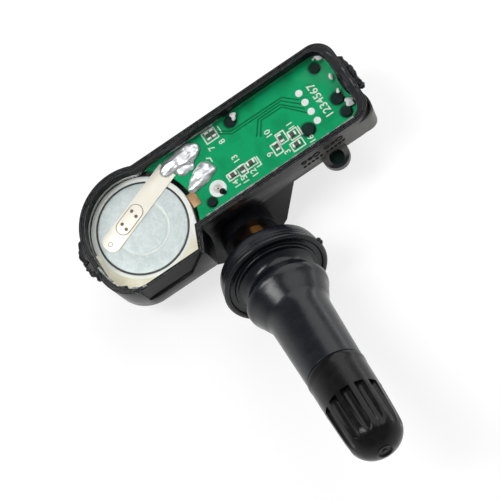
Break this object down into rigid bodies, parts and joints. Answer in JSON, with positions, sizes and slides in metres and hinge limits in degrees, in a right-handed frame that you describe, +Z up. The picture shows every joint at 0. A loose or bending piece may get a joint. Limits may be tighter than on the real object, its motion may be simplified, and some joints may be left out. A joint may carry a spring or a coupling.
{
  "type": "tyre pressure sensor",
  "caption": "Snap-in wheel valve of rubber over brass with a fluted cap, carrying an open black sensor housing with potted green circuit board and round battery.",
  "frame": {"origin": "centre of the rubber seal ring where the valve seats on the inner face of the wheel rim", "axes": "+Z up out of the housing's open face, -Y the way the valve points, +X along the housing from the battery to the board's free end"},
  "size_m": [0.0607, 0.0736, 0.0327],
  "materials": {
    "housing_plastic": "moulded black glass-filled nylon, satin",
    "board_green": "green solder mask over laminate",
    "battery_steel": "bright nickel-plated steel",
    "cell_insulator": "grey polypropylene ring",
    "tab_nickel": "nickel strip",
    "solder_metal": "bright solder",
    "pad_tin": "tinned copper",
    "chip_ceramic": "ceramic chip with tinned ends",
    "sensor_black": "black moulded chip package",
    "port_rubber": "soft black seal",
    "ferrite": "dark sintered ferrite",
    "copper_wire": "enamelled copper winding",
    "crystal_steel": "bright metal can",
    "potting_clear": "clear soft potting",
    "stem_brass": "turned brass, lightly tarnished",
    "valve_rubber": "moulded black rubber, satin",
    "core_brass": "turned brass",
    "core_rubber": "black seal rubber",
    "spring_steel": "bright spring wire",
    "cap_plastic": "moulded black plastic",
    "screw_steel": "zinc-plated steel"
  },
  "bodies": {
    "root": {"housing": "housing_plastic", "circuit_board": "board_green", "battery_can": "battery_steel", "battery_gasket": "cell_insulator", "battery_cap": "battery_steel", "negative_tab": "tab_nickel", "positive_tab": "tab_nickel", "negative_solder": "solder_metal", "positive_solder": "solder_metal", "test_pads": "pad_tin", "ring_pad": "pad_tin", "sensor_chip": "sensor_black", "port_gasket": "port_rubber", "coil_core": "ferrite", "coil_winding": "copper_wire", "crystal_can": "crystal_steel", "potting_gel": "potting_clear", "brass_stem": "stem_brass", "rubber_valve_body": "valve_rubber", "core_barrel": "core_brass", "core_seal": "core_rubber", "core_spring": "spring_steel", "mounting_screw": "screw_steel", "chip_part_1": "chip_ceramic", "chip_part_2": "chip_ceramic", "chip_part_3": "chip_ceramic", "chip_part_4": "chip_ceramic", "chip_part_5": "chip_ceramic", "chip_part_6": "chip_ceramic", "chip_part_7": "chip_ceramic", "chip_part_8": "chip_ceramic", "chip_part_9": "chip_ceramic"},
    "cap": {"valve_cap": "cap_plastic", "cap_seal": "core_rubber"},
    "core_pin_set": {"core_pin": "core_brass", "core_plunger": "core_brass", "plunger_washer": "core_rubber"}
  },
  "joints": [
    {"name": "cap_unscrew", "type": "slide", "parent": "root", "child": "cap", "axis": [0, -0.9205, 0.3907], "range_m": [0, 0.018]},
    {"name": "core_pin_press", "type": "slide", "parent": "root", "child": "core_pin_set", "axis": [0, 0.9205, -0.3907], "range_m": [0, 0.0012], "stiffness_N_per_m": 800, "springref_m": -0.0008, "deforming": ["core_spring"]}
  ]
}
